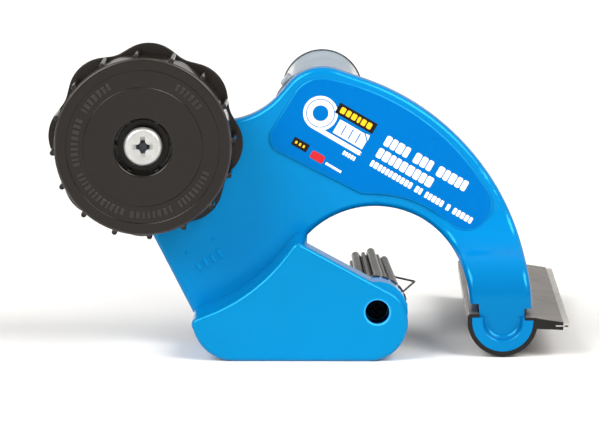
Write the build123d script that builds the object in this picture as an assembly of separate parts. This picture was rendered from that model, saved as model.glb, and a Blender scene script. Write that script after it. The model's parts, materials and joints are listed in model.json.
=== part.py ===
"""Hand dispenser for painter's tape with masking paper, modelled as an assembly of separate pieces.

The tape roll turns on the large hub at the left, and the paper roll turns on the ribbed spindle under the
handle. Tape and paper meet over the spindle, so that half of the tape's width lies on the paper's edge. They
leave under the round foot of the blade channel and are torn on the cutter blade at its lip.

Row frame: X runs from the hub to the blade, Y from the user's side to the far side, Z up. The origin is on the
flat underside of the base, in the plane where the paper's edge meets the middle of the tape. Millimetres.
"""

from build123d import *
import math
import os

# ---- driving dimensions ------------------------------------------------------------------------------------
TAPE_WIDTH = 24.0
WALL = 2.4
CLEAR = 0.05            # running clearance of a shaft, on the radius

# depths along Y
BASE_FRONT = -24.0      # the base's flat front face
BASE_STEP = -9.5        # back of the base's thin part, which carries the spindle
FOOT_FRONT = -TAPE_WIDTH / 2
ARM_FRONT = -8.0        # face of the arm inside the foot's raised rim
PLATE_FRONT = 14.0      # face of the plate behind the tape roll, and of the handle
PARTING = 22.0          # where the two shells meet
REVEAL = 1.2            # the rear shell's edge lies this far inside the front one's
SHELL_BACK = 34.0
BLADE_END = FOOT_FRONT + 170.0

# axes in the X-Z plane
HUB_X, HUB_Z = -64.5, 87.4
SPINDLE_X, SPINDLE_Z = 31.0, 20.4
SPINDLE_TILT = 1.65     # degrees, so that the paper is drawn against the tape
FOOT_X, FOOT_Z = 83.4, 15.0
SLEEVE_X, SLEEVE_Z = 8.2, 95.3
HANDLE_X, HANDLE_Z = -7.0, 15.1     # centre of the handle's outer arc

# radii
ROLL_CLEARANCE = 72.9   # room for the largest tape roll
HUB_R = 36.5
HUB_RIB_R = 38.3        # over the ribs, a push fit in a 76 mm core
LOBE_R, VALLEY_R = 40.5, 37.2
ARCH_R = 39.0           # inside of the handle, round the paper roll
FOOT_R = 12.6
CHANNEL_R = 14.5
CHANNEL_WALL = 1.8
SLEEVE_R = 17.5
SLEEVE_WALL = 1.6

# outlines in X-Z as belts: (x, z, radius), radius negative where the outline goes round the circle's outside
BODY_BELT = [
    (-27.2, 17.0, 17.0),
    (-7.0, 2.5, 2.5),
    (SPINDLE_X, 20.3, -ARCH_R),
    (FOOT_X, FOOT_Z, FOOT_R),
    (HANDLE_X, HANDLE_Z, 102.9),
    (9.0, 99.0, 18.4),
    (-33.0, 126.6, -31.5),
    (HUB_X, HUB_Z, 16.0),
]
BASE_BELT = [
    (-27.2, 17.0, 17.0),
    (28.2, 16.0, 16.0),
    (31.4, 17.4, 12.6),
    (-0.85, 45.75, 3.0),
    (HUB_X, HUB_Z, -ROLL_CLEARANCE),
    (-41.5, 14.95, 3.0),
]
PAD_BELT = [
    (-6.5, 88.2, 6.8),
    (26.5, 70.6, 6.0),
    (SPINDLE_X, 20.3, -ARCH_R - 5.0),
    (68.8, 60.4, 11.0),
    (-7.0, 16.5, 98.3),
    (9.0, 99.7, 13.7),
]
PAD_RISE = 0.9
LABEL_THICK = 0.15
LABEL_INSET = 0.8

# screws that close the two shells, and those of the base's cover
SHELL_SCREWS = [(-52.0, 70.0), (-30.0, 11.0), (-14.0, 62.0), (12.0, 76.0), (60.0, 76.0), (83.4, 30.0)]
COVER_SCREWS = [(6.0, 12.0), (10.0, 34.0), (36.0, 5.5)]


# ---- helpers -----------------------------------------------------------------------------------------------
def polar(x, z, radius, degrees):
    a = math.radians(degrees)
    return (x + radius * math.cos(a), z + radius * math.sin(a))


def belt(circles, inset=0.0):
    """Face bounded by a belt round these circles, counter-clockwise, with tangent lines between them."""
    leave = []
    for (x1, z1, r1), (x2, z2, r2) in zip(circles, circles[1:] + circles[:1]):
        towards = math.degrees(math.atan2(z2 - z1, x2 - x1))
        leave.append(towards - math.degrees(math.acos((r1 - r2) / math.dist((x1, z1), (x2, z2)))))
    edges = []
    for i, (x, z, r) in enumerate(circles):
        start, end = leave[i - 1], leave[i]
        turn = (end - start) % 360 if r > 0 else -((start - end) % 360)
        edges.append(CenterArc((x, z), abs(r), start + (0 if r > 0 else 180), turn))
        x2, z2, r2 = circles[(i + 1) % len(circles)]
        edges.append(Line(polar(x, z, r, end), polar(x2, z2, r2, end)))
    face = make_face(Wire(edges))
    return offset(face, -inset) if inset else face


def prism(face, y0, y1):
    """A face drawn in X-Z, extruded from y0 to y1 along Y."""
    return Pos(0, y1, 0) * Rot(90, 0, 0) * extrude(face, y1 - y0, dir=(0, 0, 1))


def disc(y0, y1, radius, x=0.0, z=0.0):
    """A cylinder along Y."""
    return Pos(x, (y0 + y1) / 2, z) * Rot(90, 0, 0) * Cylinder(radius, y1 - y0)


def ring(y0, y1, outer, inner, x=0.0, z=0.0):
    return disc(y0, y1, outer, x, z) - disc(y0 - 1, y1 + 1, inner, x, z)


def block(x0, x1, y0, y1, z0, z1):
    return Pos((x0 + x1) / 2, (y0 + y1) / 2, (z0 + z1) / 2) * Box(x1 - x0, y1 - y0, z1 - z0)


def circle_at(x, z, radius):
    return Pos(x, z) * Circle(radius)


def at_hub(shape):
    return Pos(HUB_X, 0, HUB_Z) * shape


def at_spindle(shape):
    """Places a piece built round the Y axis on the spindle's tilted axis."""
    return Pos(SPINDLE_X, 0, SPINDLE_Z) * Rot(0, 0, SPINDLE_TILT) * shape


def edges_at(shape, y):
    return [e for e in shape.edges() if abs(e.center().Y - y) < 1e-3 and e.bounding_box().size.Y < 1e-3]


def save(shape, name):
    solids = shape.solids()
    whole = solids[0] if len(solids) == 1 else Compound(children=list(solids))
    export_step(whole, f"parts/{name}.step")


# ---- shells ------------------------------------------------------------------------------------------------
RAMP_TOP, RAMP_END = 59.0, 23.5     # heights between which the arm's face comes forward


def arm_side():
    """Side view in Y-Z of the arm: its face comes forward in an S from the handle to the foot."""
    middle = ((PLATE_FRONT + ARM_FRONT) / 2, (RAMP_TOP + RAMP_END) / 2)
    upper = TangentArc((PLATE_FRONT, RAMP_TOP), middle, tangent=(0, -1))
    lower = TangentArc((ARM_FRONT, RAMP_END), middle, tangent=(0, 1))
    roof = Polyline((PLATE_FRONT, RAMP_TOP), (60, RAMP_TOP), (60, -10), (ARM_FRONT, -10), (ARM_FRONT, RAMP_END))
    return make_face(Wire([*upper.edges(), *lower.edges(), *roof.edges()]))


def solid_front():
    """The front shell's outer form, before it is hollowed."""
    plate = prism(belt(BODY_BELT), PLATE_FRONT, PARTING)
    ramp = Pos(SPINDLE_X + 2, 0, 0) * extrude(Plane.YZ * arm_side(), 80, dir=(1, 0, 0))
    arm = prism(belt(BODY_BELT), FOOT_FRONT - 4, PARTING) & ramp
    body = plate + arm
    flat = (RAMP_TOP, RAMP_END, (RAMP_TOP + RAMP_END) / 2)
    rim = [e for e in body.edges() if e.center().Y < PARTING - 5]
    rim = [e for e in rim if e.bounding_box().size.X > 1e-3 or e.bounding_box().size.Z > 1e-3]
    rim = [e for e in rim if e.bounding_box().size.Z > 1e-3 or min(abs(e.center().Z - z) for z in flat) > 0.1]
    return fillet(rim, 2.6)


def lip_grooves(y0, y1, left_top, right_top):
    """What is cut from the arm's sides for the channel's lips, and from the foot's flanks beside its walls."""
    left = block(FOOT_X - FOOT_R - 3, FOOT_X - FOOT_R + 3.0, y0, y1, FOOT_Z + 1.5, FOOT_Z + left_top)
    right = block(FOOT_X + FOOT_R - 3.6, FOOT_X + FOOT_R + 3, y0, y1, FOOT_Z + 0.3, FOOT_Z + right_top)
    flank = block(FOOT_X - FOOT_R - 3, FOOT_X, y0, y1, FOOT_Z - 6, FOOT_Z + 1.5)
    return left + right + (flank - disc(y0 - 1, y1 + 1, FOOT_R, FOOT_X, FOOT_Z))


def foot_rim():
    """The raised U on the arm's near end, with a cove between it and the arm's face."""
    inner, cove = 8.0, 2.2
    rim = ring(FOOT_FRONT, ARM_FRONT + 3, FOOT_R, inner)
    rim = fillet([e for e in edges_at(rim, FOOT_FRONT) if e.radius < FOOT_R - 1], 1.0)
    hollow = Pos(0, ARM_FRONT - cove, 0) * Rot(90, 0, 0) * Torus(inner - cove, cove)
    rim += ring(ARM_FRONT - cove, ARM_FRONT + 0.5, inner + 0.2, inner - cove) - hollow
    return Pos(FOOT_X, 0, FOOT_Z) * (rim & block(-20, 20, -20, 20, -20, 1.5))


def front_shell():
    handle = solid_front()
    thin = prism(belt(BASE_BELT), BASE_FRONT, BASE_STEP)
    thin = fillet(edges_at(thin, BASE_FRONT), 1.7)
    room = circle_at(SPINDLE_X, 20.3, ARCH_R)
    thick = prism(belt(BASE_BELT) - room, BASE_STEP - 0.01, PLATE_FRONT + 0.5)
    pad = prism(belt(PAD_BELT), PLATE_FRONT - PAD_RISE, PLATE_FRONT + 0.5)
    pad = fillet(edges_at(pad, PLATE_FRONT - PAD_RISE), 0.7)
    handle -= prism(belt(PAD_BELT), -40, PLATE_FRONT - PAD_RISE)
    shell = handle + thin + thick + foot_rim() + pad

    shell -= prism(belt(BODY_BELT, WALL), PLATE_FRONT + WALL, PARTING + 1)
    shell -= prism(belt(BASE_BELT, WALL) - circle_at(SPINDLE_X, 20.3, ARCH_R + WALL),
                   BASE_FRONT + WALL, PLATE_FRONT + WALL + 1)
    shell -= prism(belt(BASE_BELT, WALL) & circle_at(SPINDLE_X, 20.3, ARCH_R - WALL),
                   BASE_FRONT + WALL, BASE_STEP + 1)
    arm_room = circle_at(FOOT_X, FOOT_Z, FOOT_R - 4.6) + Pos(FOOT_X, 21.5) * Rectangle(16, 14)
    shell -= prism(arm_room, ARM_FRONT + WALL, PARTING + 1)

    # bosses and bores
    shell += at_spindle(disc(BASE_FRONT + 1.5, -8.0, 12.5)) & block(-60, 60, BASE_FRONT + 1.0, 0, 0, 60)
    shell -= at_spindle(disc(BASE_FRONT - 3, SPINDLE_SEAT, 4.9))
    shell -= at_spindle(disc(-20, 0, 4.0))
    mouth = [e for e in edges_at(shell, BASE_FRONT) if e.bounding_box().size.X < 11]
    shell = fillet([e for e in mouth if abs(e.center().X - SPINDLE_X) < 7 and e.center().Z > 10], 0.7)
    shell += ring(PLATE_FRONT + 1, PLATE_FRONT + 6, 10.5, 7.0, HUB_X, HUB_Z)
    shell -= disc(PLATE_FRONT - 5, PLATE_FRONT + 8, 7.0, HUB_X, HUB_Z)
    for x, z in SHELL_SCREWS:
        start = ARM_FRONT + 5 if x > 80 else BASE_FRONT + 1 if z < 20 else PLATE_FRONT + 1
        shell += disc(start, PARTING, 3.6, x, z)
        shell -= disc(PLATE_FRONT + 3, PARTING + 1, 1.25, x, z)
    for x, z in COVER_SCREWS:
        shell += disc(BASE_FRONT + 1, BASE_STEP - 2.0, 2.6, x, z)
        shell -= disc(BASE_FRONT + 5, BASE_STEP, 1.0, x, z)
    return shell - lip_grooves(FOOT_FRONT - 5, PARTING + 1, 6.6, 4.6)


def rear_shell():
    shell = prism(belt(BODY_BELT, REVEAL), PARTING, SHELL_BACK)
    shell = fillet(edges_at(shell, SHELL_BACK), 2.8)
    shell -= prism(belt(BODY_BELT, REVEAL + WALL), PARTING - 1, SHELL_BACK - WALL)
    shell += ring(SHELL_BACK - 1, SHELL_BACK + 13, SLEEVE_R - SLEEVE_WALL - 0.1, 13.0, SLEEVE_X, SLEEVE_Z)
    for x, z in SHELL_SCREWS:
        shell += disc(PARTING, SHELL_BACK - 1, 4.6, x, z)
        shell -= disc(PARTING - 1, SHELL_BACK + 1, 1.7, x, z)
        shell -= disc(SHELL_BACK - 3.0, SHELL_BACK + 1, 3.3, x, z)
    return shell - lip_grooves(PARTING - 1, SHELL_BACK + 1, 3.1, 1.7)


def screw(head_y, head_r, head_h, shank_r, length, towards=1):
    """A pan-head screw on the Y axis: the head's seat is at head_y, and the shank runs towards +Y or -Y."""
    head = disc(0, head_h, head_r)
    head = fillet(edges_at(head, head_h), head_h * 0.55)
    deep = head_h * 0.75
    wing = block(-head_r, head_r, head_h - deep, head_h + 1, -head_r * 0.13, head_r * 0.13)
    taper = Pos(0, head_h - deep / 2, 0) * Rot(90, 0, 0) * Cone(head_r * 0.54, head_r * 0.2, deep)
    middle = Pos(0, head_h - deep / 2, 0) * Rot(90, 0, 0) * Cone(head_r * 0.27, head_r * 0.1, deep)
    one = head - ((wing + Rot(0, 90, 0) * wing) & taper) - middle + disc(-length, 0.01, shank_r)
    if towards > 0:
        one = Rot(180, 0, 0) * one
    return Pos(0, head_y, 0) * one


def shell_screws():
    one = screw(0, 3.1, 2.0, 1.25, 14, towards=-1)
    return Compound(children=[Pos(x, SHELL_BACK - 3.0, z) * one for x, z in SHELL_SCREWS])


def base_cover():
    face = belt(BASE_BELT, WALL + 0.1) & circle_at(SPINDLE_X, 20.3, ARCH_R - WALL - 0.1)
    cover = prism(face, BASE_STEP - 2.0, BASE_STEP)
    cover -= at_spindle(disc(-30, 0, 12.6))
    for x, z in COVER_SCREWS:
        cover -= disc(BASE_STEP - 3, BASE_STEP + 1, 1.2, x, z)
    return cover


def cover_screws():
    one = screw(0, 2.2, 1.4, 1.0, 6, towards=-1)
    return Compound(children=[Pos(x, BASE_STEP, z) * one for x, z in COVER_SCREWS])


def label():
    face = belt(PAD_BELT, LABEL_INSET)
    return prism(face, PLATE_FRONT - PAD_RISE - LABEL_THICK, PLATE_FRONT - PAD_RISE)


# ---- tape hub ----------------------------------------------------------------------------------------------
HUB_FRONT = -16.0
HUB_BACK = 12.0
WELL_R, WELL_FLOOR = 11.7, -6.0
BAND_IN, BAND_OUT = 24.6, 31.5      # the sunk band on the hub's face
RIB_COUNT, LOBE_COUNT = 16, 8
SCREW_SEAT = -12.4


def tape_hub():
    cup = disc(HUB_FRONT, HUB_BACK, HUB_R)
    cup = fillet(edges_at(cup, HUB_FRONT), 1.1)
    cup -= disc(HUB_FRONT + WALL, HUB_BACK + 1, HUB_R - 2.2)
    for k in range(RIB_COUNT):
        x, z = polar(0, 0, HUB_RIB_R - 1.15, 4 + k * 360 / RIB_COUNT)
        rib = disc(HUB_FRONT + 0.4, HUB_BACK, 1.15, x, z)
        cup += fillet(edges_at(rib, HUB_FRONT + 0.4), 0.7)
    cup -= ring(HUB_FRONT - 1, HUB_FRONT + 0.5, BAND_OUT, BAND_IN)
    cup += ring(HUB_FRONT, WELL_FLOOR + 2, WELL_R + 2.4, WELL_R)
    cup -= disc(HUB_FRONT, WELL_FLOOR, WELL_R)
    cup = fillet([e for e in edges_at(cup, HUB_FRONT) if e.radius < WELL_R + 1], 1.0)
    cup = fillet([e for e in edges_at(cup, HUB_FRONT) if BAND_IN - 1 < e.radius < BAND_OUT + 1], 0.3)
    cup += ring(WELL_FLOOR, WELL_FLOOR + 2, WELL_R + 1, 3.4)
    cup += ring(WELL_FLOOR + 1.5, HUB_BACK, 11.5, 9.0)
    for k in range(6):
        web = block(11.0, HUB_R - 1.5, HUB_FRONT + WALL - 0.5, 8.0, -0.8, 0.8)
        cup += Rot(0, k * 60, 0) * web
    return at_hub(cup)


def hub_flange():
    circles = []
    for k in range(LOBE_COUNT):
        peak = -3.5 + k * 360 / LOBE_COUNT
        circles.append((*polar(0, 0, 25.0, peak), LOBE_R - 25.0))
        circles.append((*polar(0, 0, VALLEY_R + 12.0, peak + 180 / LOBE_COUNT), -12.0))
    plate = prism(belt(circles), HUB_BACK, HUB_BACK + 1.5) - disc(0, 20, 16.0)
    plate = fillet([e for e in edges_at(plate, HUB_BACK) if e.center().length > 30 or e.length < 20], 0.5)
    return at_hub(plate + ring(HUB_BACK - 2.6, HUB_BACK + 0.5, HUB_R - 2.3, 32.4))


def hub_bush():
    return at_hub(ring(WELL_FLOOR + 2, HUB_BACK, 9.0, 7.0 + CLEAR))


def hub_axle():
    stub = disc(-3.5, PLATE_FRONT + 6, 7.0) + disc(PLATE_FRONT + 6, PLATE_FRONT + 8, 10.0)
    return at_hub(stub - disc(-10, 40, 2.5))


def hub_nut():
    hexagon = prism(RegularPolygon(4.6, 6), PLATE_FRONT + 8, PLATE_FRONT + 11.5)
    return at_hub(hexagon - disc(0, 40, 2.5))


def hub_screw():
    return at_hub(screw(SCREW_SEAT, 7.95, 3.3, 2.48, 37, towards=1))


def coil_spring(y0, y1, radius, wire, turns):
    """A compression spring along Y with its wire's ends on the end turns."""
    pitch = (y1 - y0 - wire) / turns
    path = Helix(pitch, y1 - y0 - wire, radius)
    section = Plane(origin=path @ 0, z_dir=path % 0) * Circle(wire / 2)
    coil = sweep(section, path=path, is_frenet=True)
    return Pos(0, y1 - wire / 2, 0) * Rot(90, 0, 0) * coil


def drag_spring():
    return at_hub(coil_spring(SCREW_SEAT + 0.02, WELL_FLOOR - 1.82, 5.4, 1.0, 2.6))


def pressure_washer():
    return at_hub(ring(WELL_FLOOR - 1.8, WELL_FLOOR - 0.9, 10.4, 2.8))


def friction_disc():
    return at_hub(ring(WELL_FLOOR - 0.85, WELL_FLOOR - 0.02, 10.8, 3.4))


# ---- paper spindle -----------------------------------------------------------------------------------------
SPINDLE_SEAT = -10.5    # where the axle's screw bears on the base's boss
SPINDLE_START, SPINDLE_END = -5.2, 98.0
SPINDLE_R_NEAR, SPINDLE_R_FAR = 12.3, 10.7
RIB_ANGLE, SPINDLE_RIBS = 36.0, 8
CLIP_ANGLE = RIB_ANGLE - 180 / SPINDLE_RIBS
AXLE_R = 4.0
BUSH_R = 5.5
BUSH_LENGTH = 10.0


def spindle_section(scale):
    """Star section: a core with eight round-nosed ribs and a low ridge in each gap."""
    core = Circle(8.6 * scale)
    nose = 2.05 * scale
    for k in range(SPINDLE_RIBS):
        angle = RIB_ANGLE + k * 360 / SPINDLE_RIBS
        reach = SPINDLE_R_NEAR * scale - nose
        rib = Pos(reach / 2, 0) * Rectangle(reach, 2 * nose) + Pos(reach, 0) * Circle(nose)
        core += Rot(0, 0, angle) * rib
        ridge = Pos(9.3 * scale, 0) * Circle(1.1 * scale)
        core += Rot(0, 0, angle + 180 / SPINDLE_RIBS) * ridge
    return core.faces()[0]


def paper_spindle():
    far = spindle_section(SPINDLE_R_FAR / SPINDLE_R_NEAR)
    near = Pos(0, 0, SPINDLE_END - SPINDLE_START) * spindle_section(1.0)
    body = Pos(0, SPINDLE_END, 0) * Rot(90, 0, 0) * loft([far, near], ruled=True)
    body -= disc(SPINDLE_START - 1, SPINDLE_END + 1, BUSH_R)
    slot = block(4.5, 16, 1.0, 70.0, -1.1, 1.1)
    body -= Rot(0, -CLIP_ANGLE, 0) * slot
    return at_spindle(body)


def spindle_flange():
    plate = disc(-7.7, SPINDLE_START, 13.0) - disc(-20, 20, BUSH_R)
    for k in range(20):
        x, z = polar(0, 0, 13.4, 9 + k * 18)
        plate -= disc(-9, 0, 0.9, x, z)
    return at_spindle(plate)


def spindle_bushes():
    near = ring(-7.7, -7.7 + BUSH_LENGTH, BUSH_R, AXLE_R + CLEAR)
    far = ring(SPINDLE_END - BUSH_LENGTH, SPINDLE_END, BUSH_R, AXLE_R + CLEAR)
    return at_spindle(Compound(children=[near, far]))


def spindle_axle():
    pin = disc(SPINDLE_SEAT, SPINDLE_END + 2.6, AXLE_R)
    pin = chamfer(edges_at(pin, SPINDLE_END + 2.6), 0.6)
    return at_spindle(pin - disc(SPINDLE_SEAT - 1, 0, 1.5))


def spindle_screw():
    return at_spindle(screw(SPINDLE_SEAT, 4.6, 2.4, 1.5, 9, towards=1))


def spindle_retainer():
    return at_spindle(ring(SPINDLE_END + 0.3, SPINDLE_END + 1.5, 7.4, AXLE_R))


CLIP_WIRE = 0.9
CLIP_APEX_R, CLIP_FOOT_R = 18.4, 10.8
CLIP_MIDDLE, CLIP_HALF = 37.0, 27.0


def core_clip():
    """A V of spring wire in one of the spindle's grooves, with its feet along the groove."""
    foot = 3.5
    points = [
        (CLIP_FOOT_R, CLIP_MIDDLE - CLIP_HALF - foot),
        (CLIP_FOOT_R, CLIP_MIDDLE - CLIP_HALF),
        (CLIP_APEX_R, CLIP_MIDDLE),
        (CLIP_FOOT_R, CLIP_MIDDLE + CLIP_HALF),
        (CLIP_FOOT_R, CLIP_MIDDLE + CLIP_HALF + foot),
    ]
    path = FilletPolyline(*points, radius=1.6)
    section = Plane(origin=path @ 0, z_dir=path % 0) * Circle(CLIP_WIRE / 2)
    wire = sweep(section, path=path)
    return at_spindle(Rot(0, -CLIP_ANGLE, 0) * wire)


# ---- blade -------------------------------------------------------------------------------------------------
JAW_END = FOOT_X + 24.9
SLOT_Z = FOOT_Z - 2.0
BLADE_THICK = 0.5
SLOT_GAP, SLOT_DEPTH = 0.8, 3.2
BLADE_TIP = JAW_END + 1.9


def blade_channel():
    """C-shaped extrusion that hooks on the foot, with a slotted jaw for the blade along its outer lip."""
    section = circle_at(FOOT_X, FOOT_Z, CHANNEL_R) - circle_at(FOOT_X, FOOT_Z, CHANNEL_R - CHANNEL_WALL)
    section -= Pos(FOOT_X, FOOT_Z + 10) * Rectangle(40, 20)
    inner = FOOT_X - CHANNEL_R + CHANNEL_WALL
    hook = Polygon((inner - 1.8, FOOT_Z - 0.1), (inner, FOOT_Z - 0.1), (inner, FOOT_Z + 1.6),
                   (inner + 2.8, FOOT_Z + 1.6), (inner + 2.8, FOOT_Z + 2.9), (inner - 1.0, FOOT_Z + 2.9),
                   (inner - 1.8, FOOT_Z + 2.1), align=None)
    inner = FOOT_X + CHANNEL_R - CHANNEL_WALL
    jaw = Polygon((inner, FOOT_Z - 3.1), (JAW_END, FOOT_Z - 3.6), (JAW_END, FOOT_Z - 0.4),
                  (inner + 3.5, FOOT_Z + 0.9), (inner + 0.5, FOOT_Z + 1.5), (inner - 3.4, FOOT_Z + 1.5),
                  (inner - 3.4, FOOT_Z + 0.4), (inner, FOOT_Z + 0.4), align=None)
    channel = prism(section, FOOT_FRONT, BLADE_END) + prism(jaw, FOOT_FRONT, BLADE_END)
    channel += prism(hook, FOOT_FRONT, BLADE_END)
    slot = Pos(JAW_END - SLOT_DEPTH / 2 + 0.5, SLOT_Z) * Rectangle(SLOT_DEPTH + 1, SLOT_GAP)
    return channel - prism(slot, FOOT_FRONT - 1, BLADE_END + 1)


def cutter_blade():
    """Stainless strip whose outer edge is cut into teeth."""
    pitch, depth = 2.0, 1.2
    length = BLADE_END - FOOT_FRONT - 1.0
    count = int(length / pitch)
    start = FOOT_FRONT + 0.5
    inner = JAW_END - SLOT_DEPTH + 0.2
    outline = [(inner, start)]
    for k in range(count):
        outline.append((BLADE_TIP - depth, start + k * pitch))
        outline.append((BLADE_TIP, start + (k + 0.5) * pitch))
    outline.append((BLADE_TIP - depth, start + count * pitch))
    outline.append((inner, start + count * pitch))
    strip = extrude(Polygon(*outline, align=None), BLADE_THICK, dir=(0, 0, 1))
    return Pos(0, 0, SLOT_Z - BLADE_THICK / 2) * strip


def blade_guard():
    """Clear clip-on strip over the teeth."""
    x0, x1 = JAW_END + 0.1, BLADE_TIP + 0.9
    guard = block(x0, x1, FOOT_FRONT, BLADE_END, SLOT_Z - 1.1, SLOT_Z + 1.1)
    guard = fillet(guard.edges().filter_by(Axis.Y).sort_by(Axis.X)[-2:], 0.5)
    return guard - block(x0 - 1, BLADE_TIP + 0.2, FOOT_FRONT - 1, BLADE_END + 1, SLOT_Z - 0.4, SLOT_Z + 0.4)


# ---- clear sleeve ------------------------------------------------------------------------------------------
SLEEVE_END = SHELL_BACK + 117.0


def clear_sleeve():
    tube = ring(SHELL_BACK + 0.1, SLEEVE_END, SLEEVE_R, SLEEVE_R - SLEEVE_WALL)
    lug = block(SLEEVE_R - 0.8, SLEEVE_R + 4.0, SHELL_BACK + 6.5, SHELL_BACK + 16.5, -2.5, 2.5)
    tube += Rot(0, -136, 0) * fillet(lug.edges().filter_by(Axis.Y).sort_by(Axis.X)[-2:], 0.8)
    return Pos(SLEEVE_X, 0, SLEEVE_Z) * tube


def sleeve_collar():
    collar = ring(SHELL_BACK + 0.1, SHELL_BACK + 5.0, SLEEVE_R + 3.0, SLEEVE_R + 0.02)
    collar = fillet([e for e in edges_at(collar, SHELL_BACK + 5.0) if e.radius > SLEEVE_R + 1], 1.0)
    return Pos(SLEEVE_X, 0, SLEEVE_Z) * collar


PIECES = [
    front_shell, rear_shell, shell_screws, base_cover, cover_screws, label,
    tape_hub, hub_flange, hub_bush, hub_axle, hub_nut, hub_screw, drag_spring, pressure_washer, friction_disc,
    paper_spindle, spindle_flange, spindle_bushes, spindle_axle, spindle_screw, spindle_retainer, core_clip,
    blade_channel, cutter_blade, blade_guard, clear_sleeve, sleeve_collar,
]

os.makedirs("parts", exist_ok=True)
for piece in PIECES:
    save(piece(), piece.__name__)
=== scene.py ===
import json
import math
import random

import bmesh
import bpy
from mathutils import Matrix, Vector

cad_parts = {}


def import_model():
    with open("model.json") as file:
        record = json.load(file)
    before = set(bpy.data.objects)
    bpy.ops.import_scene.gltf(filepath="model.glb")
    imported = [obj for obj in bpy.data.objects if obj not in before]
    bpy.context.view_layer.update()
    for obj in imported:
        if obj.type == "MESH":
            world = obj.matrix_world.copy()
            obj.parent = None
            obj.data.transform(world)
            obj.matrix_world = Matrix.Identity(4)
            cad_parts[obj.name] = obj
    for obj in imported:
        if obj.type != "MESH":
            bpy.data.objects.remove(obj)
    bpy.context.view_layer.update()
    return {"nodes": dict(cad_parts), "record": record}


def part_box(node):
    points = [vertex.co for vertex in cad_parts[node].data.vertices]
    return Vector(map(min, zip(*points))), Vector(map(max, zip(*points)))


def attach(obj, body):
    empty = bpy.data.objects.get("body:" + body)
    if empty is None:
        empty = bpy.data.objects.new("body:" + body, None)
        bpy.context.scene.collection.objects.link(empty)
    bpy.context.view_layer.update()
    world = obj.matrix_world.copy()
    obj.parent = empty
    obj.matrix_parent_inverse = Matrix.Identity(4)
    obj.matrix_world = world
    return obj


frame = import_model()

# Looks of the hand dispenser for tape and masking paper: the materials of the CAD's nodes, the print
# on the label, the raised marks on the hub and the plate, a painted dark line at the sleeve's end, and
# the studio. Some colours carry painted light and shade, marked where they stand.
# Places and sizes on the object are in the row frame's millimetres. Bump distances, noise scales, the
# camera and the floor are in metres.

NODES = frame["nodes"]
SCENE = bpy.context.scene
RNG = random.Random(7)
MM = 0.001

# where things are
HUB_X, HUB_Z, HUB_R = -64.5, 87.4, 36.5
HUB_FACE, BAND_FLOOR = -16.0, -15.5     # the hub's front face, and the floor of the sunk band on it
BAND_MIDDLE = 28.1                      # radius of the band's middle
SLEEVE_X, SLEEVE_Z = 8.2, 95.3
SLEEVE_OUT, SLEEVE_IN = 17.5, 15.9
BORE_X, BORE_Z, BORE_R = 31.7, 20.4, 4.9    # the screwdriver's bore in the base's front face
ARM_X, ARM_Y = 60.0, -9.0               # the arm's painted shade is deepest to the right of this, and round this depth
BASE_FACE, PLATE_FACE = -24.0, 14.0     # the base's flat front face, and the plate behind the tape roll
LABEL_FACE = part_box("label")[0][1] / MM
SCREW_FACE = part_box("hub_screw")[0][1] / MM
CHANNEL_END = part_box("blade_channel")[0][1] / MM
SLEEVE_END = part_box("clear_sleeve")[1][1] / MM
SLOPE = math.radians(30.2)              # the print runs down towards the blade at this angle

# colours
BLUE = (0.0, 0.188, 0.49)
FACE_SHADING_BLUE = (0.0, 0.174, 0.42)          # painted lighting: the same blue, a little deeper on the base's front face
ARM_SHADE_BLUE = (0.0, 0.128, 0.35)          # painted shade, low on the arm
LIP_HIGHLIGHT_BLUE = (0.035, 0.36, 0.78)          # a painted highlight on the rounded mouth of the bore
# painted shade inside the bore
BORE_SHADE_BLUE = (0.0, 0.006, 0.04)
# painted highlight on the plate's raised marks
MARK_HIGHLIGHT_BLUE = (0.0, 0.245, 0.60)
LABEL_BLUE = (0.0, 0.135, 0.45)
SHEEN_BLUE = (0.07, 0.72, 1.0)          # tint of the blue plastic's highlights
# painted highlight on the rounded edge of the hub's face
RIM_HIGHLIGHT_BLACK = (0.060, 0.054, 0.048)
# painted highlight on the raised marks of the hub
MARK_HIGHLIGHT_BLACK = (0.019, 0.0165, 0.0145)


# ---- node trees ----------------------------------------------------------------------------------
class Tree:
    """A node tree, with short calls to add and join nodes."""

    def __init__(self, tree):
        self.tree = tree

    def add(self, kind, **settings):
        node = self.tree.nodes.new(kind)
        for key, value in settings.items():
            setattr(node, key, value)
        return node

    def join(self, source, target):
        self.tree.links.new(source, target)

    def ranged(self, value, low, high, from_low=0.3, from_high=0.7, shape="LINEAR"):
        """The value, carried from one range to another and held at its ends."""
        node = self.add("ShaderNodeMapRange", interpolation_type=shape)
        node.inputs["From Min"].default_value = from_low
        node.inputs["From Max"].default_value = from_high
        node.inputs["To Min"].default_value = low
        node.inputs["To Max"].default_value = high
        self.join(value, node.inputs["Value"])
        return node.outputs["Result"]

    def math(self, operation, a, b=None):
        node = self.add("ShaderNodeMath", operation=operation)
        for socket, value in zip(node.inputs, (a, b)):
            if isinstance(value, (int, float)):
                socket.default_value = value
            elif value is not None:
                self.join(value, socket)
        return node.outputs[0]


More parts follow.
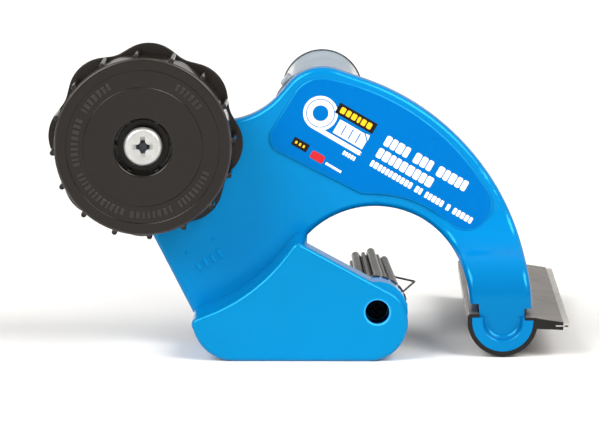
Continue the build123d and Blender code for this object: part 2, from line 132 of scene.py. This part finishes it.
class Nodes(Tree):
    """A material's node tree. Its patterns lie in the object's own coordinates."""

    def __init__(self, name):
        self.material = bpy.data.materials.new(name)
        self.material.use_nodes = True
        super().__init__(self.material.node_tree)
        self.shader = self.tree.nodes["Principled BSDF"]
        self.place = self.add("ShaderNodeTexCoord").outputs["Object"]
        self.split = None

    def stretched(self, scale):
        """The object's own coordinates, multiplied by scale along each axis."""
        node = self.add("ShaderNodeVectorMath", operation="MULTIPLY")
        node.inputs[1].default_value = scale
        self.join(self.place, node.inputs[0])
        return node.outputs[0]

    def noise(self, scale, detail=3.0, rough=0.5, where=None):
        node = self.add("ShaderNodeTexNoise")
        node.inputs["Scale"].default_value = scale
        node.inputs["Detail"].default_value = detail
        node.inputs["Roughness"].default_value = rough
        self.join(where or self.place, node.inputs["Vector"])
        return node.outputs["Fac"]

    def colours(self, value, low, high):
        """A ramp between two colours, each a tuple or a socket."""
        node = self.add("ShaderNodeMix", data_type="RGBA")
        for key, colour in (("A", low), ("B", high)):
            if isinstance(colour, tuple):
                node.inputs[key].default_value = (*colour, 1)
            else:
                self.join(colour, node.inputs[key])
        self.join(value, node.inputs["Factor"])
        return node.outputs["Result"]

    def cloudy(self, scale, detail, low, high):
        """Soft clouds of two colours."""
        return self.colours(self.ranged(self.noise(scale, detail), 0.0, 1.0), low, high)

    def axis(self, letter):
        """One coordinate of the point, in metres."""
        if self.split is None:
            self.split = self.add("ShaderNodeSeparateXYZ")
            self.join(self.place, self.split.inputs[0])
        return self.split.outputs[letter]

    def away(self, letter, middle):
        """Distance from a plane across one axis."""
        return self.math("ABSOLUTE", self.math("SUBTRACT", self.axis(letter), middle * MM))

    def radius(self, x, z):
        """Distance from a line that runs along Y."""
        dx = self.math("SUBTRACT", self.axis("X"), x * MM)
        dz = self.math("SUBTRACT", self.axis("Z"), z * MM)
        squares = self.math("ADD", self.math("MULTIPLY", dx, dx), self.math("MULTIPLY", dz, dz))
        return self.math("SQRT", squares)

    def fade(self, distance, none, full):
        """0 where the distance is none and 1 where it is full, both in millimetres."""
        return self.ranged(distance, 0.0, 1.0, none * MM, full * MM)

    def both(self, *masks):
        """Where all of these masks are 1."""
        product = masks[0]
        for mask in masks[1:]:
            product = self.math("MULTIPLY", product, mask)
        return product

    def bump(self, height, distance, after=None):
        node = self.add("ShaderNodeBump")
        node.inputs["Distance"].default_value = distance
        node.inputs["Strength"].default_value = 1.0
        self.join(height, node.inputs["Height"])
        if after is not None:
            self.join(after, node.inputs["Normal"])
        return node.outputs["Normal"]

    def peel(self, grain):
        """Bumps of moulded plastic: a fine orange peel over slow waves."""
        return self.bump(self.noise(60.0, 2.0), grain * 1.5, after=self.bump(self.noise(900.0, 2.0), grain))

    def set(self, **values):
        """Sets or joins the shader's inputs."""
        for key, value in values.items():
            socket = self.shader.inputs[key.replace("_", " ")]
            if isinstance(value, bpy.types.NodeSocket):
                self.join(value, socket)
            elif isinstance(value, tuple):
                socket.default_value = (*value, 1)
            else:
                socket.default_value = value


# ---- materials -----------------------------------------------------------------------------------
def moulded(name, colour, rough, spread=0.05, grain=0.000010, specular=0.5, tint=(1, 1, 1)):
    """Injection-moulded plastic: a fine orange peel, slow flow marks in the colour, and uneven gloss."""
    n = Nodes(name)
    pale = tuple(min(1.0, c * (1 + spread)) for c in colour)
    deep = tuple(c * (1 - spread) for c in colour)
    n.set(Base_Color=n.cloudy(22.0, 4.0, deep, pale), Specular_IOR_Level=specular, Specular_Tint=tint)
    n.set(Roughness=n.ranged(n.noise(35.0, 4.0), rough * 0.9, rough * 1.15), Normal=n.peel(grain))
    return n.material


def body_blue(name):
    """The body's blue, with light and shade painted in: a little deeper on the base's front face, painted
    shade low on the arm, a painted highlight on the rim of the base's bore and painted shade, near black,
    inside it."""
    n = Nodes(name)
    y, off_bore = n.axis("Y"), n.radius(BORE_X, BORE_Z)
    # painted lighting: the base's front face takes a deeper copy of the blue than the set-back surfaces
    behind = n.fade(y, BASE_FACE + 1.5, BASE_FACE + 5.0)
    # painted shade low on the arm, from ARM_X rightwards and round the depth ARM_Y
    arm = n.both(n.fade(n.axis("X"), ARM_X, ARM_X + 4.0), n.fade(n.away("Y", ARM_Y), 9.0, 1.5))
    # painted highlight: a pale ring on the rounded mouth of the bore
    lip = n.both(n.fade(y, BASE_FACE + 1.4, BASE_FACE + 0.8), n.fade(off_bore, BORE_R + 0.9, BORE_R + 0.4))
    # painted shade, near black, inside the bore
    inside = n.both(n.fade(y, BASE_FACE + 0.7, BASE_FACE + 3.5),
                    n.fade(off_bore, BORE_R + 0.4, BORE_R + 0.1))
    hue = n.colours(behind, FACE_SHADING_BLUE, BLUE)
    for mask, colour in ((arm, ARM_SHADE_BLUE), (lip, LIP_HIGHLIGHT_BLUE), (inside, BORE_SHADE_BLUE)):
        hue = n.colours(mask, hue, colour)
    tone = n.add("ShaderNodeVectorMath", operation="SCALE")
    n.join(hue, tone.inputs[0])
    n.join(n.ranged(n.noise(22.0, 4.0), 0.95, 1.05), tone.inputs["Scale"])
    n.set(Base_Color=tone.outputs[0], Specular_IOR_Level=0.9, Specular_Tint=SHEEN_BLUE)
    n.set(Roughness=n.ranged(n.noise(35.0, 4.0), 0.14, 0.19), Normal=n.peel(0.000010))
    return n.material


def hub_black(name):
    """Satin black with a patchy painted highlight on the edge of the face, and faint rings from the mould's
    turning.
    """
    n = Nodes(name)
    y, radius = n.axis("Y"), n.radius(HUB_X, HUB_Z)
    black = n.cloudy(30.0, 4.0, (0.004, 0.002, 0.001), (0.007, 0.0042, 0.0028))
    # painted highlight: a lighter, patchy band on the rounded edge of the face
    edge = n.both(n.fade(radius, HUB_R - 1.0, HUB_R - 0.4), n.fade(radius, HUB_R + 0.25, HUB_R + 0.05))
    rim_highlight = n.both(edge, n.fade(y, HUB_FACE + 1.3, HUB_FACE + 0.7), n.ranged(n.noise(160.0, 4.0), 0.35, 1.0))
    n.set(Base_Color=n.colours(rim_highlight, black, RIM_HIGHLIGHT_BLACK), Specular_IOR_Level=0.36)
    front = n.fade(y, HUB_FACE + 1.2, HUB_FACE + 0.05)
    rough = n.ranged(n.noise(120.0, 5.0), 0.08, 0.13)
    n.set(Roughness=n.math("ADD", n.math("MULTIPLY", front, 0.08), rough))
    pitch = 0.7
    rings = n.math("SINE", n.math("MULTIPLY", radius, 2 * math.pi / (pitch * MM)))
    n.set(Normal=n.bump(rings, 0.000001, after=n.bump(n.noise(1500.0, 2.0), 0.000008)))
    return n.material


def extruded_black(name):
    """Glossy black extrusion with die lines along Y. Its drawn surface is painted grey, a painted
    reflection of the bright surroundings seen at a glancing angle; its cut end keeps the black.
    """
    n = Nodes(name)
    # painted reflection: the drawn surface is coloured grey, the cut end stays black
    drawn = n.cloudy(18.0, 4.0, (0.115, 0.096, 0.082), (0.140, 0.120, 0.105))
    end = n.fade(n.axis("Y"), CHANNEL_END + 0.3, CHANNEL_END + 0.05)
    n.set(Base_Color=n.colours(end, drawn, (0.005, 0.004, 0.0035)), Specular_IOR_Level=0.28)
    lines = n.noise(900.0, 4.0, 0.6, n.stretched((1.0, 0.012, 1.0)))
    n.set(Roughness=n.ranged(n.noise(90.0, 4.0), 0.18, 0.26), Normal=n.bump(lines, 0.0000025))
    return n.material


def scratched(n, low, high):
    """Uneven gloss and fine scratches of plated or polished metal."""
    scratches = n.noise(1400.0, 4.0, 0.6, n.stretched((1.0, 1.0, 0.3)))
    n.set(Roughness=n.ranged(n.noise(700.0, 4.0), low, high), Normal=n.bump(scratches, 0.000006))


def plated(name, colour, rough, metallic=1.0):
    """Plated or stainless steel: fine cloudy grain and small scratches."""
    n = Nodes(name)
    pale = tuple(min(1.0, c * 1.08) for c in colour)
    deep = tuple(c * 0.88 for c in colour)
    n.set(Base_Color=n.cloudy(420.0, 5.0, deep, pale), Metallic=metallic)
    scratched(n, rough * 0.8, rough * 1.25)
    return n.material


def screw_zinc(name):
    """Bright zinc, with painted shade, near black, in the cross of the hub screw's head."""
    n = Nodes(name)
    bright = n.cloudy(420.0, 5.0, (0.50, 0.50, 0.485), (0.60, 0.60, 0.585))
    # painted shade in the deep cross recess of the head
    inside = n.both(n.fade(n.radius(HUB_X, HUB_Z), 3.0, 2.6),
                    n.fade(n.axis("Y"), SCREW_FACE + 0.25, SCREW_FACE + 0.9))
    n.set(Base_Color=n.colours(inside, bright, (0.05, 0.055, 0.065)), Metallic=0.7)
    scratched(n, 0.26, 0.4)
    return n.material


def clear_tube(name):
    """A clear drawn tube, with painted shade along its sides, where its walls are seen edge-on."""
    n = Nodes(name)
    # painted shade: greyer towards the tube's sides
    side_shade = n.fade(n.away("X", SLEEVE_X), 10.5, 15.0)
    n.set(Base_Color=n.colours(side_shade, (0.62, 0.82, 1.0), (0.50, 0.55, 0.62)))
    n.set(Transmission_Weight=0.9, IOR=1.4)
    lines = n.noise(400.0, 3.0, 0.5, n.stretched((1.0, 0.02, 1.0)))
    n.set(Roughness=n.ranged(n.noise(60.0, 4.0), 0.08, 0.16), Normal=n.bump(lines, 0.00005))
    return n.material


def clear_strip(name, colour, rough):
    """Cloudy clear plastic with faint draw lines."""
    n = Nodes(name)
    n.set(Base_Color=colour, Transmission_Weight=0.4, IOR=1.4)
    lines = n.noise(240.0, 3.0, 0.5, n.stretched((1.0, 0.02, 1.0)))
    n.set(Roughness=n.ranged(n.noise(60.0, 4.0), rough * 0.7, rough * 1.6), Normal=n.bump(lines, 0.000008))
    return n.material


def ink(name, colour):
    """Screen-printed ink, slightly uneven."""
    n = Nodes(name)
    n.set(Base_Color=n.cloudy(500.0, 4.0, tuple(c * 0.93 for c in colour), colour), Specular_IOR_Level=0.2)
    n.set(Roughness=n.ranged(n.noise(900.0, 2.0), 0.28, 0.42), Normal=n.bump(n.noise(2500.0), 0.000004))
    return n.material


def felt(name):
    """Pressed felt, rough and flecked."""
    n = Nodes(name)
    n.set(Base_Color=n.colours(n.noise(1800.0, 4.0), (0.04, 0.04, 0.04), (0.12, 0.12, 0.12)))
    n.set(Normal=n.bump(n.noise(2600.0, 4.0), 0.0001), Roughness=0.95, Sheen_Weight=0.3)
    return n.material


MATERIALS = {
    "blue_plastic": body_blue("blue_plastic"),
    "label_print": moulded("label_print", LABEL_BLUE, 0.28, 0.02, 0.000004, 0.3, SHEEN_BLUE),
    "black_plastic": moulded("black_plastic", (0.016, 0.013, 0.011), 0.24, specular=0.22),
    "hub_plastic": hub_black("hub_plastic"),
    "bearing_plastic": moulded("bearing_plastic", (0.70, 0.69, 0.64), 0.4),
    "friction_felt": felt("friction_felt"),
    "zinc_steel": screw_zinc("zinc_steel"),
    "blade_steel": plated("blade_steel", (0.62, 0.62, 0.61), 0.26),
    "spring_wire": plated("spring_wire", (0.06, 0.056, 0.052), 0.3, 0.7),
    # the screw's own black oxide, with a blue cast and little gloss that paint the shade of the deep bore
    "blackened_steel": moulded("blackened_steel", (0.001, 0.003, 0.009), 0.5, specular=0.05),
    "clear_plastic": clear_tube("clear_plastic"),
}
SPECIAL = {              # nodes that look unlike the rest of their slot
    "blade_channel": extruded_black("channel_black"),
    "blade_guard": clear_strip("guard_clear", (0.66, 0.635, 0.60), 0.3),
}


def dress_nodes():
    """Every CAD node gets the material of its slot."""
    slots = {part["node"]: part["material_slot"] for part in frame["record"]["subparts"]}
    for name, obj in NODES.items():
        obj.data.materials.clear()
        obj.data.materials.append(SPECIAL.get(name) or MATERIALS[slots[name]])


# ---- solids --------------------------------------------------------------------------------------
def point(bm, x, y, z):
    return bm.verts.new((x * MM, y * MM, z * MM))


def band(bm, low, high):
    """Faces between two closed rings of points."""
    for i in range(len(low)):
        j = (i + 1) % len(low)
        bm.faces.new((low[i], high[i], high[j], low[j]))


def stack(bm, rings):
    """A closed solid through rings of points."""
    bm.faces.new(rings[0])
    bm.faces.new(rings[-1][::-1])
    for low, high in zip(rings, rings[1:]):
        band(bm, low, high)


def hoop(bm, x, z, profile, start=0.0, steps=96):
    """A ring round the line through (x, z) along Y. Its section is a list of (radius, y)."""
    rows = []
    for k in range(steps):
        a = start + 2 * math.pi * k / steps
        rows.append([point(bm, x + r * math.cos(a), y, z + r * math.sin(a)) for r, y in profile])
    for row, following in zip(rows, rows[1:] + rows[:1]):
        band(bm, row, following)


def finish_piece(bm, name, material, body):
    """Makes an object of the mesh, riding on this body and in this material."""
    bmesh.ops.recalc_face_normals(bm, faces=bm.faces)
    mesh = bpy.data.meshes.new(name)
    bm.to_mesh(mesh)
    bm.free()
    mesh.materials.append(material)
    obj = bpy.data.objects.new(name, mesh)
    SCENE.collection.objects.link(obj)
    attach(obj, body)


# ---- print on the label --------------------------------------------------------------------------
class Print:
    """Flat shapes of one ink, laid on the label. u runs along the print's slope and v up across it."""

    thickness = 0.03
    gap = 0.002             # between the label's face and the ink

    def __init__(self, name, material):
        self.name, self.material = name, material
        self.bm = bmesh.new()

    def spot(self, origin, u, v):
        """The (x, z) of a place in the print."""
        c, s = math.cos(SLOPE), math.sin(SLOPE)
        return origin[0] + u * c + v * s, origin[1] - u * s + v * c

    def faces(self, lift):
        """The y of the ink's front and of its back."""
        return LABEL_FACE - lift - self.thickness, LABEL_FACE - lift - self.gap

    def solid(self, origin, outline, lift=0.0):
        """A thin prism over an outline given counter-clockwise in (u, v)."""
        spots = [self.spot(origin, u, v) for u, v in outline]
        stack(self.bm, [[point(self.bm, x, y, z) for x, z in spots] for y in self.faces(lift)])

    def bar(self, origin, u0, u1, v0, v1, radius, lift=0.0):
        """A rectangle with rounded corners."""
        radius = min(radius, (u1 - u0) / 2.01, (v1 - v0) / 2.01)
        corners = ((u1 - radius, v0 + radius, -90), (u1 - radius, v1 - radius, 0),
                   (u0 + radius, v1 - radius, 90), (u0 + radius, v0 + radius, 180))
        outline = []
        for u, v, start in corners:
            for k in range(5):
                a = math.radians(start + k * 22.5)
                outline.append((u + radius * math.cos(a), v + radius * math.sin(a)))
        self.solid(origin, outline, lift)

    def ring(self, origin, u, v, outer, inner, lift=0.0):
        """An annulus."""
        x, z = self.spot(origin, u, v)
        front, back = self.faces(lift)
        hoop(self.bm, x, z, ((outer, front), (outer, back), (inner, back), (inner, front)), start=-SLOPE)

    def words(self, origin, lengths, height, width, gap):
        """Word-like rows of blocks, with no letters in them."""
        u = 0.0
        for length in lengths:
            for _ in range(length):
                w = width * RNG.uniform(0.72, 1.05)
                self.bar(origin, u, u + w, 0.0, height, 0.16 * height)
                u += w + gap
            u += width * 0.75

    def done(self):
        finish_piece(self.bm, self.name, self.material, "frame")


def label_print():
    """A pictogram, rows of blocks in place of words, two badges and a pill. Places are (x, z)."""
    white = Print("label_print_white", ink("ink_white", (0.90, 0.92, 0.94)))
    black = Print("label_print_black", ink("ink_black", (0.005, 0.005, 0.006)))
    yellow = Print("label_print_yellow", ink("ink_yellow", (0.95, 0.55, 0.01)))
    red = Print("label_print_red", ink("ink_red", (0.56, 0.016, 0.022)))
    blue = Print("label_print_blue", MATERIALS["label_print"])
    over = Print.thickness

    # a roll with its tape drawn off to the right, under a sheet of paper with a folded corner
    roll = (13.8, 91.9)
    white.ring(roll, -8.2, 2.9, 7.2, 3.3)
    blue.ring(roll, -8.2, 2.9, 6.0, 5.65, lift=over)
    torn_edge = [(14.2, -4.3), (15.0, -3.9), (14.2, -3.4), (15.0, -2.9), (14.2, -2.4)]
    white.solid(roll, [(-8.2, -4.3)] + torn_edge + [(-8.2, -2.4)], lift=0.01)
    white.solid(roll, [(0.2, -1.5), (14.2, -1.5), (14.2, 2.4), (11.8, 4.8), (0.2, 4.8)])
    white.solid(roll, [(12.3, 5.0), (14.5, 2.8), (14.2, 5.2)])
    for u in (3.4, 6.8, 10.2):
        blue.bar(roll, u, u + 0.5, -0.7, 4.0, 0.2, lift=over)

    # rows of blocks: where, blocks in each word, height, width, gap
    white.words((34.0, 85.4), (4, 3, 5), 4.6, 3.05, 0.44)
    white.words((30.8, 80.5), (9,), 4.4, 2.8, 0.42)
    white.words((28.4, 76.7), (11, 2, 5, 1, 5), 2.8, 1.72, 0.36)
    white.words((17.1, 81.4), (5,), 1.9, 1.0, 0.28)
    white.words((10.0, 77.2), (8,), 1.1, 0.85, 0.22)

    # a large badge with six blocks, a small one with three, and a pill
    large, small, pill = (23.0, 96.4), (-0.2, 85.4), (6.9, 80.2)
    black.bar(large, -9.0, 9.0, -2.4, 2.4, 0.3)
    u = -7.4
    for width in (2.2, 1.9, 2.1, 1.3, 2.0, 2.1):
        yellow.bar(large, u, u + width, -1.35, 1.35, 0.5, lift=over)
        u += width + 0.62
    black.bar(small, -3.6, 3.6, -1.8, 1.8, 0.3)
    for u in (-2.4, -0.6, 1.2):
        yellow.bar(small, u, u + 0.9, -0.6, 0.6, 0.2, lift=over)
    red.bar(pill, -3.0, 3.0, -1.7, 1.7, 0.8)
    for layer in (white, black, yellow, red, blue):
        layer.done()


# ---- raised marks and the sleeve's end -----------------------------------------------------------
HUB_ROWS = ((34, 60), (118, 150), (156, 196), (203, 252), (259, 296), (302, 336))     # from and to, degrees


def hub_block(bm, start, width):
    """One block in the hub's band, from this angle on."""
    tall, proud = 3.0, 0.42
    half = math.degrees(width / 2 / BAND_MIDDLE)
    corners = []
    for rise, turn in ((-tall / 2, -half), (-tall / 2, half), (tall / 2, half), (tall / 2, -half)):
        a, radius = math.radians(start + half + turn), BAND_MIDDLE + rise
        corners.append((HUB_X + radius * math.cos(a), HUB_Z + radius * math.sin(a)))
    cx, cz = (sum(c) / 4 for c in zip(*corners))
    levels = ((BAND_FLOOR + 0.02, 1.0), (BAND_FLOOR - proud * 0.7, 0.97), (BAND_FLOOR - proud, 0.86))
    stack(bm, [[point(bm, cx + (x - cx) * shrink, y, cz + (z - cz) * shrink) for x, z in corners]
               for y, shrink in levels])


def hub_marks():
    """Rows of small raised blocks in the band round the hub's face."""
    bm = bmesh.new()
    gap = 1.5                               # between blocks, degrees
    for angle, last in HUB_ROWS:
        while angle < last:
            width = RNG.uniform(1.1, 1.9)
            hub_block(bm, angle, width)
            angle += math.degrees(width / BAND_MIDDLE) + gap
    # painted highlight: the raised blocks are coloured lighter than the hub
    marks_highlight = moulded("hub_marks_highlight", MARK_HIGHLIGHT_BLACK, 0.3, 0.3, specular=0.36)
    finish_piece(bm, "hub_raised_marks", marks_highlight, "tape_hub")


def plate_marks():
    """Four small raised bars and two ejector pimples on the plate below the hub."""
    bm = bmesh.new()
    proud, pitch = 0.4, 3.4
    along, up = Vector((0.85, 0.0, 0.53)), Vector((-0.53, 0.0, 0.85))
    for k in range(4):
        middle = Vector((-38.1, PLATE_FACE, 36.8)) + along * (pitch * (k - 1.5))
        half_width, half_height = 0.75, 1.8 + 0.3 * (k % 2)
        rings = []
        for lift, shrink in ((-0.02, 1.0), (proud * 0.6, 0.96), (proud, 0.75)):
            corners = [middle + along * (a * half_width * shrink) + up * (b * half_height * shrink)
                       for a, b in ((-1, -1), (1, -1), (1, 1), (-1, 1))]
            rings.append([point(bm, c.x, c.y - lift, c.z) for c in corners])
        stack(bm, rings)
    for x, z in ((-36.6, 46.1), (-47.5, 40.2)):
        where = Matrix.Translation(Vector((x, PLATE_FACE, z)) * MM) @ Matrix.Diagonal((0.8, 0.5, 0.8, 1.0))
        bmesh.ops.create_icosphere(bm, subdivisions=3, radius=0.9 * MM, matrix=where)
    # painted highlight: the raised bars and pimples are coloured lighter than the plate
    marks_highlight = moulded("blue_marks_highlight", MARK_HIGHLIGHT_BLUE, 0.2, specular=0.6, tint=SHEEN_BLUE)
    finish_piece(bm, "plate_raised_marks", marks_highlight, "frame")


def sleeve_end_shade():
    """A thin dark ring at the sleeve's far end: a painted dark line where the clear tube's end shows dark.
    """
    bm = bmesh.new()
    outside, lip, inside = SLEEVE_OUT + 0.35, SLEEVE_OUT - 0.5, SLEEVE_IN + 0.9
    hoop(bm, SLEEVE_X, SLEEVE_Z, ((outside, SLEEVE_END - 1.0), (outside, SLEEVE_END - 0.05),
                                  (lip, SLEEVE_END + 0.05), (inside, SLEEVE_END - 0.9)))
    # painted dark line at the tube's end
    edge = moulded("painted_end_shade", (0.03, 0.035, 0.04), 0.5, 0.2, specular=0.2)
    finish_piece(bm, "sleeve_end_shade", edge, "clear_sleeve")


# ---- studio --------------------------------------------------------------------------------------
def camera():
    """A long lens in front of the object and a little above it. Its place is in metres."""
    data = bpy.data.cameras.new("camera")
    data.lens = 279.03
    data.sensor_width = 36.0
    data.clip_end = 50.0
    obj = bpy.data.objects.new("camera", data)
    obj.location = (0.018096, -1.908100, 0.293493)
    obj.rotation_euler = (math.radians(83.0), 0.0, math.radians(0.5503))
    SCENE.collection.objects.link(obj)
    SCENE.camera = obj


def floor():
    """White paper that reaches past the camera, just under the object. Metres."""
    half, drop = 12.0, 0.00005
    mesh = bpy.data.meshes.new("floor")
    corners = [(-half, -half, 0), (half, -half, 0), (half, half, 0), (-half, half, 0)]
    mesh.from_pydata(corners, [], [(0, 1, 2, 3)])
    obj = bpy.data.objects.new("floor", mesh)
    obj.location.z = -drop
    SCENE.collection.objects.link(obj)
    n = Nodes("floor_paper")
    n.set(Base_Color=n.colours(n.noise(3.0), (0.85, 0.848, 0.84), (0.87, 0.868, 0.86)), Roughness=0.8)
    n.set(Specular_IOR_Level=0.1)
    mesh.materials.append(n.material)


SOFTBOXES = (            # direction from the object, radiance
    (Vector((0.52, -0.56, 0.64)).normalized(), 8.0),
    (Vector((-0.55, -0.60, 0.58)).normalized(), 8.0),
)
BOX_EDGE = math.cos(math.radians(22))   # a box starts here
BOX_CORE = math.cos(math.radians(12))   # and is full from here on
TENT_FRONT, TENT_BACK = 0.62, 0.52      # radiance of the tent before and behind the object
TENT_COLOUR = (1.0, 0.985, 0.965, 1)


def world():
    """A studio tent with two soft boxes high in front of the object."""
    studio = bpy.data.worlds.new("studio")
    SCENE.world = studio
    studio.use_nodes = True
    t = Tree(studio.node_tree)
    place = t.add("ShaderNodeTexCoord").outputs["Generated"]

    def towards(direction):
        """Cosine of the angle to this direction."""
        node = t.add("ShaderNodeVectorMath", operation="DOT_PRODUCT")
        node.inputs[1].default_value = direction
        t.join(place, node.inputs[0])
        return node.outputs["Value"]

    strength = t.ranged(towards(Vector((0, 1, 0))), TENT_FRONT, TENT_BACK, -0.6, 0.2, "SMOOTHSTEP")
    for direction, radiance in SOFTBOXES:
        lit = t.ranged(towards(direction), 0.0, radiance, BOX_EDGE, BOX_CORE, "SMOOTHSTEP")
        strength = t.math("ADD", strength, lit)
    background = t.tree.nodes["Background"]
    t.join(strength, background.inputs["Strength"])
    background.inputs["Color"].default_value = TENT_COLOUR


camera()
floor()
world()
dress_nodes()
label_print()
hub_marks()
plate_marks()
sleeve_end_shade()
SCENE.view_settings.view_transform = "Standard"
